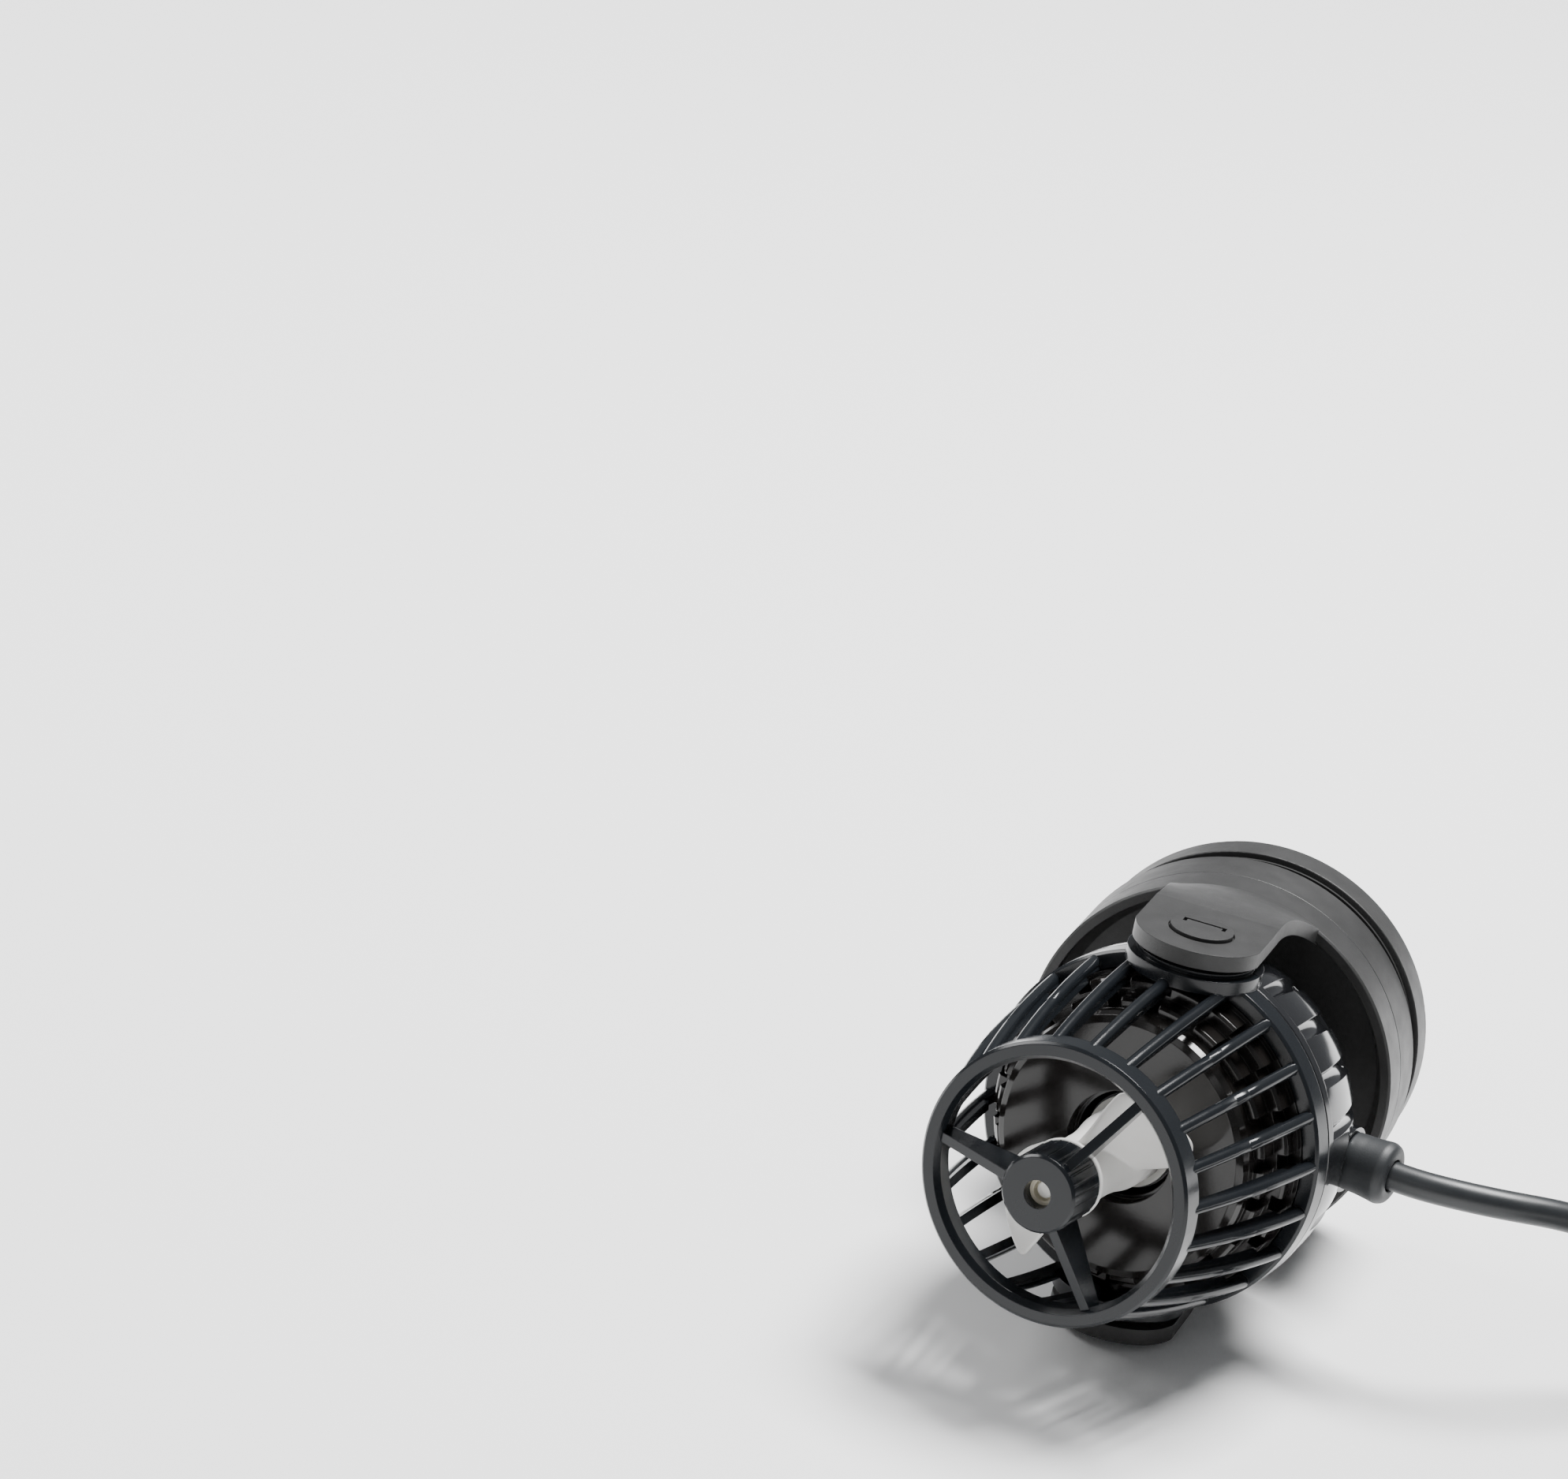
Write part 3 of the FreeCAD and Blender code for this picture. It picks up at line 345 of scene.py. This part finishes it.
def loops_to_mesh(loops, close_ends=True, wrap=False):
    """Skin over closed loops of equally many points; ends are closed, or the last joins the first."""
    count = len(loops[0])
    points = [p for loop in loops for p in loop]
    faces = []
    pairs = list(zip(range(len(loops)), range(1, len(loops))))
    if wrap:
        pairs.append((len(loops) - 1, 0))
    for a, b in pairs:
        for k in range(count):
            nxt = (k + 1) % count
            faces.append((a * count + k, a * count + nxt, b * count + nxt, b * count + k))
    if close_ends and not wrap:
        faces.append(tuple(reversed(range(count))))
        faces.append(tuple(range((len(loops) - 1) * count, len(loops) * count)))
    return new_mesh(points, faces)


def spun(profile, segments=96):
    """Closed profile of (y, radius) points turned about Y."""
    loops = []
    for k in range(segments):
        angle = 2 * math.pi * k / segments
        loops.append([Vector((r * math.cos(angle), y, r * math.sin(angle))) for y, r in profile])
    return loops_to_mesh(loops, wrap=True)


def rounded(profile, radius, steps=5):
    """The profile with each corner turned into a short arc, where its two sides leave room."""
    smooth = []
    count = len(profile)
    for k in range(count):
        before, here, after = (Vector(profile[(k + i) % count]) for i in (-1, 0, 1))
        reach = min(radius, 0.45 * (before - here).length, 0.45 * (after - here).length)
        a = here + (before - here).normalized() * reach
        b = here + (after - here).normalized() * reach
        for i in range(steps + 1):
            t = i / steps
            smooth.append(tuple(a * (1 - t) ** 2 + here * 2 * t * (1 - t) + b * t ** 2))
    return smooth


def joined(meshes):
    """One mesh from several."""
    whole = bmesh.new()
    for mesh in meshes:
        whole.from_mesh(mesh)
    bmesh.ops.recalc_face_normals(whole, faces=whole.faces)
    result = bpy.data.meshes.new("shape")
    whole.to_mesh(result)
    whole.free()
    return result


def merged(mesh, voxel, smoothing):
    """The mesh's shells made into one skin, with small fillets where they met."""
    piece = bpy.data.objects.new("merging", mesh)
    bpy.context.scene.collection.objects.link(piece)
    remesh = piece.modifiers.new("remesh", "REMESH")
    remesh.mode = "VOXEL"
    remesh.voxel_size = voxel
    smooth = piece.modifiers.new("smooth", "SMOOTH")
    smooth.factor, smooth.iterations = 0.5, smoothing
    result = bpy.data.meshes.new_from_object(piece.evaluated_get(bpy.context.evaluated_depsgraph_get()))
    bpy.data.objects.remove(piece)
    return result


def finished(name, mesh, matrix, body, slot, replaced, crease=35.0):
    """Places a mesh in the row frame, gives it its body and material, and hides the nodes it stands for."""
    mesh.transform(matrix)
    mesh.name = name
    for face in mesh.polygons:
        face.use_smooth = True
    mesh.set_sharp_from_angle(angle=math.radians(crease))
    mesh.materials.clear()
    mesh.materials.append(MATERIALS[slot])
    piece = bpy.data.objects.new(name, mesh)
    bpy.context.scene.collection.objects.link(piece)
    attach(piece, body)
    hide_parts(*replaced)
    return piece


def between(value, table):
    """Value at a place along a table of (place, value) pairs."""
    for (a, low), (b, high) in zip(table, table[1:]):
        if value <= b:
            return low + (high - low) * (value - a) / (b - a)
    return table[-1][1]


# ---- propeller
BLADE_TIP_R, BLADE_MID_Y, BLADE_ANGLE = 19.4, -28.0, 43.5
BLADE_AHEAD = ((4.0, 8.6), (9.0, 9.4), (12.0, 10.25), (15.0, 11.3), (19.4, 12.3))     # at (radius, mm)
BLADE_BEHIND = ((4.0, 8.6), (9.0, 9.7), (12.0, 10.2), (15.0, 10.2), (19.4, 9.6))
CORNER_AHEAD, CORNER_BEHIND = 1.6, 5.0
BLADE_PITCH = ((4.0, 60.0), (12.0, 44.6), (19.4, 36.0))
BLADE_THICKNESS = ((4.0, 2.6), (12.0, 1.7), (19.4, 1.1))
PROP_FRONT, PROP_BACK, PROP_BORE = -38.4, -11.6, 1.56
PROP_HUB_R, PROP_FOOT_R, PROP_COLLAR_R = 6.2, 7.3, 7.4


def rounded_reach(radius, table, corner):
    """How far the blade reaches from its middle line at a radius, less the round outer corner."""
    past = max(0.0, (radius - BLADE_TIP_R + corner) / corner)
    return between(radius, table) - corner * (1 - math.sqrt(max(0.0, 1 - past ** 2)))


def blade_loop(radius):
    """Section of one blade at a radius, wrapped on the cylinder of that radius."""
    pitch, thickness = math.radians(between(radius, BLADE_PITCH)), between(radius, BLADE_THICKNESS)
    ahead = rounded_reach(radius, BLADE_AHEAD, CORNER_AHEAD)
    behind = rounded_reach(radius, BLADE_BEHIND, CORNER_BEHIND)
    past_edge = max(0.0, (radius - BLADE_TIP_R + thickness / 2) / (thickness / 2))
    depth = thickness / 2 * math.sqrt(max(0.02, 1 - past_edge ** 2))
    loop = []
    for k in range(48):
        a = 2 * math.pi * k / 48
        reach = ahead if math.cos(a) > 0 else behind
        u = reach * math.copysign(abs(math.cos(a)) ** 0.75, math.cos(a))
        w = depth * math.copysign(abs(math.sin(a)) ** 0.6, math.sin(a))
        around = (u * math.cos(pitch) + w * math.sin(pitch)) / radius + math.radians(BLADE_ANGLE)
        y = BLADE_MID_Y - u * math.sin(pitch) + w * math.cos(pitch)
        loop.append(Vector((radius * math.cos(around), y, radius * math.sin(around))))
    return loop


def make_propeller():
    hub = [(PROP_FRONT, PROP_BORE), (PROP_FRONT, PROP_COLLAR_R), (PROP_FRONT + 1.0, PROP_COLLAR_R),
           (PROP_FRONT + 1.1, PROP_COLLAR_R - 0.4), (PROP_FRONT + 1.7, PROP_COLLAR_R - 0.4),
           (PROP_FRONT + 1.9, PROP_HUB_R), (-27.0, PROP_HUB_R), (-23.0, PROP_HUB_R + 0.35),
           (-19.0, PROP_FOOT_R), (PROP_BACK, PROP_FOOT_R), (PROP_BACK, PROP_BORE)]
    radii = [4.0 + k * 0.6 for k in range(23)]
    radii += [BLADE_TIP_R - t for t in (1.4, 0.9, 0.5, 0.25, 0.1, 0.0)]
    first = loops_to_mesh([blade_loop(r) for r in radii])
    second = first.copy()
    second.transform(Matrix.Rotation(math.pi, 4, "Y"))
    mesh = merged(joined([spun(rounded(hub, 0.3)), first, second]), 0.24, 3)
    return finished("propeller_moulding", mesh, PUMP, "rotor", "propeller_plastic", ["propeller"], 60.0)


make_propeller()

# ---- cable gland
GLAND_FACE_X, GLAND_INNER_X, GLAND_NECK_R = 31.2, 26.8, 3.95
GLAND_R, GLAND_END_R, GLAND_END_X, GLAND_HOLE_R = 5.4, 5.9, 40.0, 3.0


def make_gland():
    """Rubber boot that swells towards a rolled lip round the lead."""
    outline = [(GLAND_INNER_X, 0.02), (GLAND_INNER_X, GLAND_NECK_R), (GLAND_FACE_X, GLAND_NECK_R),
               (GLAND_FACE_X, GLAND_R), (34.2, GLAND_R + 0.05), (36.4, GLAND_END_R - 0.25),
               (38.3, GLAND_END_R),
               (39.5, GLAND_END_R - 0.5), (GLAND_END_X, GLAND_END_R - 1.4), (GLAND_END_X, GLAND_HOLE_R),
               (CABLE_START_X, GLAND_HOLE_R), (CABLE_START_X, 0.02)]
    mesh = spun(rounded(outline, 0.5))
    along_x = Matrix.Translation((0, GLAND_Y, 0)) @ Matrix.Rotation(-math.pi / 2, 4, "Z")
    return finished("gland_boot", mesh, PUMP @ along_x, "pump", "black_rubber", ["cable_gland"], 60.0)


make_gland()

# ---- what lies on the coil
CONNECTOR_AZIMUTH, CONNECTOR_BACK, CONNECTOR_OUT, CONNECTOR_R = -60.0, 8.0, 28.5, 6.0
NUT_FLUTES, NUT_BORE_R, NUT_START, NUT_END = 20, 4.4, 17.8, 26.0
TIE_AZIMUTH, TIE_WIDTH, TIE_THICKNESS, TIE_GAP, TIE_SOFT = -150.0, 9.0, 0.6, 0.08, 0.2


def coil_frame(azimuth):
    return Matrix.Translation(FOOT + Vector((COIL_X, COIL_Y, 0)) * MM) @ \
        Matrix.Rotation(math.radians(azimuth), 4, "Z") @ Matrix.Scale(MM, 4)


def connector_frame():
    """Y along the connector from the lead's end, in millimetres."""
    top = COIL_LIFT + 2 * LEAD_D + CONNECTOR_R + 0.05
    return coil_frame(CONNECTOR_AZIMUTH) @ Matrix.Translation((-CONNECTOR_BACK, CONNECTOR_OUT, top)) @ \
        Matrix.Rotation(-math.pi / 2, 4, "Z")


def make_connector_body():
    """Ribbed boot over the lead, a waisted grip with rings, and the shell round the pins."""
    outline = [(0.0, 0.02), (0.0, LEAD_D / 2 + 0.55)]
    for k in range(4):
        y = 1.2 + 1.4 * k
        r = LEAD_D / 2 + 0.7 + 0.2 * k
        outline += [(y, r), (y + 0.1, r - 0.3), (y + 0.6, r - 0.3), (y + 0.7, r + 0.05)]
    outline += [(7.0, 4.4), (7.0, 4.95)]
    for k in range(6):
        y = 8.2 + 1.4 * k
        outline += [(y, 4.95), (y + 0.15, 4.6), (y + 0.6, 4.6), (y + 0.75, 4.95)]
    outline += [(17.5, 4.95), (17.5, 4.3), (27.0, 4.3), (27.0, 3.5), (19.0, 3.5), (19.0, 0.02)]
    return finished("connector_grip", spun(rounded(outline, 0.15, 2)), connector_frame(), "pump",
                    "connector_plastic", ["connector_body"])


def make_connector_nut():
    """Coupling nut with a fluted rim."""
    loops, steps = [], NUT_FLUTES * 8
    for k in range(steps):
        angle = 2 * math.pi * k / steps
        rim = CONNECTOR_R - 0.35 * (0.5 + 0.5 * math.cos(NUT_FLUTES * angle)) ** 2
        loop = []
        for y, r in ((NUT_START, NUT_BORE_R), (NUT_START, rim - 0.5), (NUT_START + 0.5, rim),
                     (NUT_END - 0.5, rim), (NUT_END, rim - 0.5), (NUT_END, NUT_BORE_R)):
            loop.append(Vector((r * math.cos(angle), y, r * math.sin(angle))))
        loops.append(loop)
    return finished("connector_ring", loops_to_mesh(loops, wrap=True), connector_frame(), "pump",
                    "connector_plastic", ["connector_nut"])


def hull_outline(centres, radius, steps=10):
    """Outline that stretches round circles of one radius, given in order against the clock."""
    points = []
    count = len(centres)
    for k in range(count):
        before, here, after = (Vector(centres[(k + i) % count]) for i in (-1, 0, 1))
        into, out = here - before, after - here
        start = math.atan2(-into.x, into.y)
        turn = math.atan2(into.x * out.y - into.y * out.x, into.dot(out))
        for i in range(steps + 1):
            a = start + math.pi + turn * i / steps
            points.append(here + Vector((math.cos(a), math.sin(a))) * radius)
    return points


def make_tie():
    """Strap pulled round the turns where they lie, with rounded edges."""
    d, r = LEAD_D, COIL_MID_R
    low = COIL_LIFT + d / 2
    centres = [(r - d, low), (r + d, low), (r + d, low + d), (r, low + 2 * d), (r - d, low + d)]
    inner = hull_outline(centres, d / 2 + TIE_GAP)
    outer = hull_outline(centres, d / 2 + TIE_GAP + TIE_THICKNESS)
    half, soft = TIE_WIDTH / 2, TIE_SOFT
    loops = []
    for a, b in zip(inner, outer):
        across = (b - a).normalized()
        section = ((a, -half + soft), (a + across * soft, -half), (b - across * soft, -half),
                   (b, -half + soft), (b, half - soft), (b - across * soft, half),
                   (a + across * soft, half), (a, half - soft))
        loops.append([Vector((p.x, y, p.y)) for p, y in section])
    place = coil_frame(CONNECTOR_AZIMUTH + TIE_AZIMUTH)
    return finished("hook_strap", loops_to_mesh(loops, wrap=True), place, "pump", "tie_plastic",
                    ["cable_tie"])


on_lead = [make_connector_body(), make_connector_nut(), make_tie(), "connector_pins"]

# ---- finishes on the CAD nodes
SLOT_OF = {part["node"]: part["material_slot"] for part in frame["record"]["subparts"]}
for name, node in frame["nodes"].items():
    node.data.materials.clear()
    node.data.materials.append(MATERIALS[SLOT_OF[name]])
lead.data.materials.append(MATERIALS["cable_jacket"])
for face in lead.data.polygons:
    face.use_smooth = True


# ---- stage
def make_floor():
    material, tree, shader = new_material("floor_paint")
    paint = tint(tree, noise(tree, 3.0), (0.90, 0.90, 0.90), (0.92, 0.92, 0.92))
    tree.links.new(paint, shader.inputs["Base Color"])
    shader.inputs["Roughness"].default_value = 0.8
    corners = [(-6, -4, 0), (6, -4, 0), (6, 8, 0), (-6, 8, 0)]
    floor = bpy.data.objects.new("floor", new_mesh(corners, [(0, 1, 2, 3)]))
    bpy.context.scene.collection.objects.link(floor)
    floor.data.materials.append(material)


def soft_light(name, place, size, power):
    data = bpy.data.lights.new(name, "AREA")
    data.shape = "RECTANGLE"
    data.size, data.size_y = size
    data.energy = power
    light = bpy.data.objects.new(name, data)
    aim = (Vector((0, 0, 0.03)) - Vector(place)).to_track_quat("-Z", "Y")
    light.matrix_world = Matrix.Translation(place) @ aim.to_matrix().to_4x4()
    bpy.context.scene.collection.objects.link(light)


make_floor()
soft_light("top_light", (0.25, 0.55, 1.6), (0.80, 0.60), 88.0)
soft_light("side_light", (-1.3, 0.1, 1.1), (0.5, 0.9), 14.0)
soft_light("front_fill", (-0.5, -1.8, 1.0), (1.2, 0.8), 3.5)
world = bpy.data.worlds.new("studio")
world.use_nodes = True
world.node_tree.nodes["Background"].inputs["Color"].default_value = (0.92, 0.94, 0.97, 1.0)
world.node_tree.nodes["Background"].inputs["Strength"].default_value = 0.26
bpy.context.scene.world = world
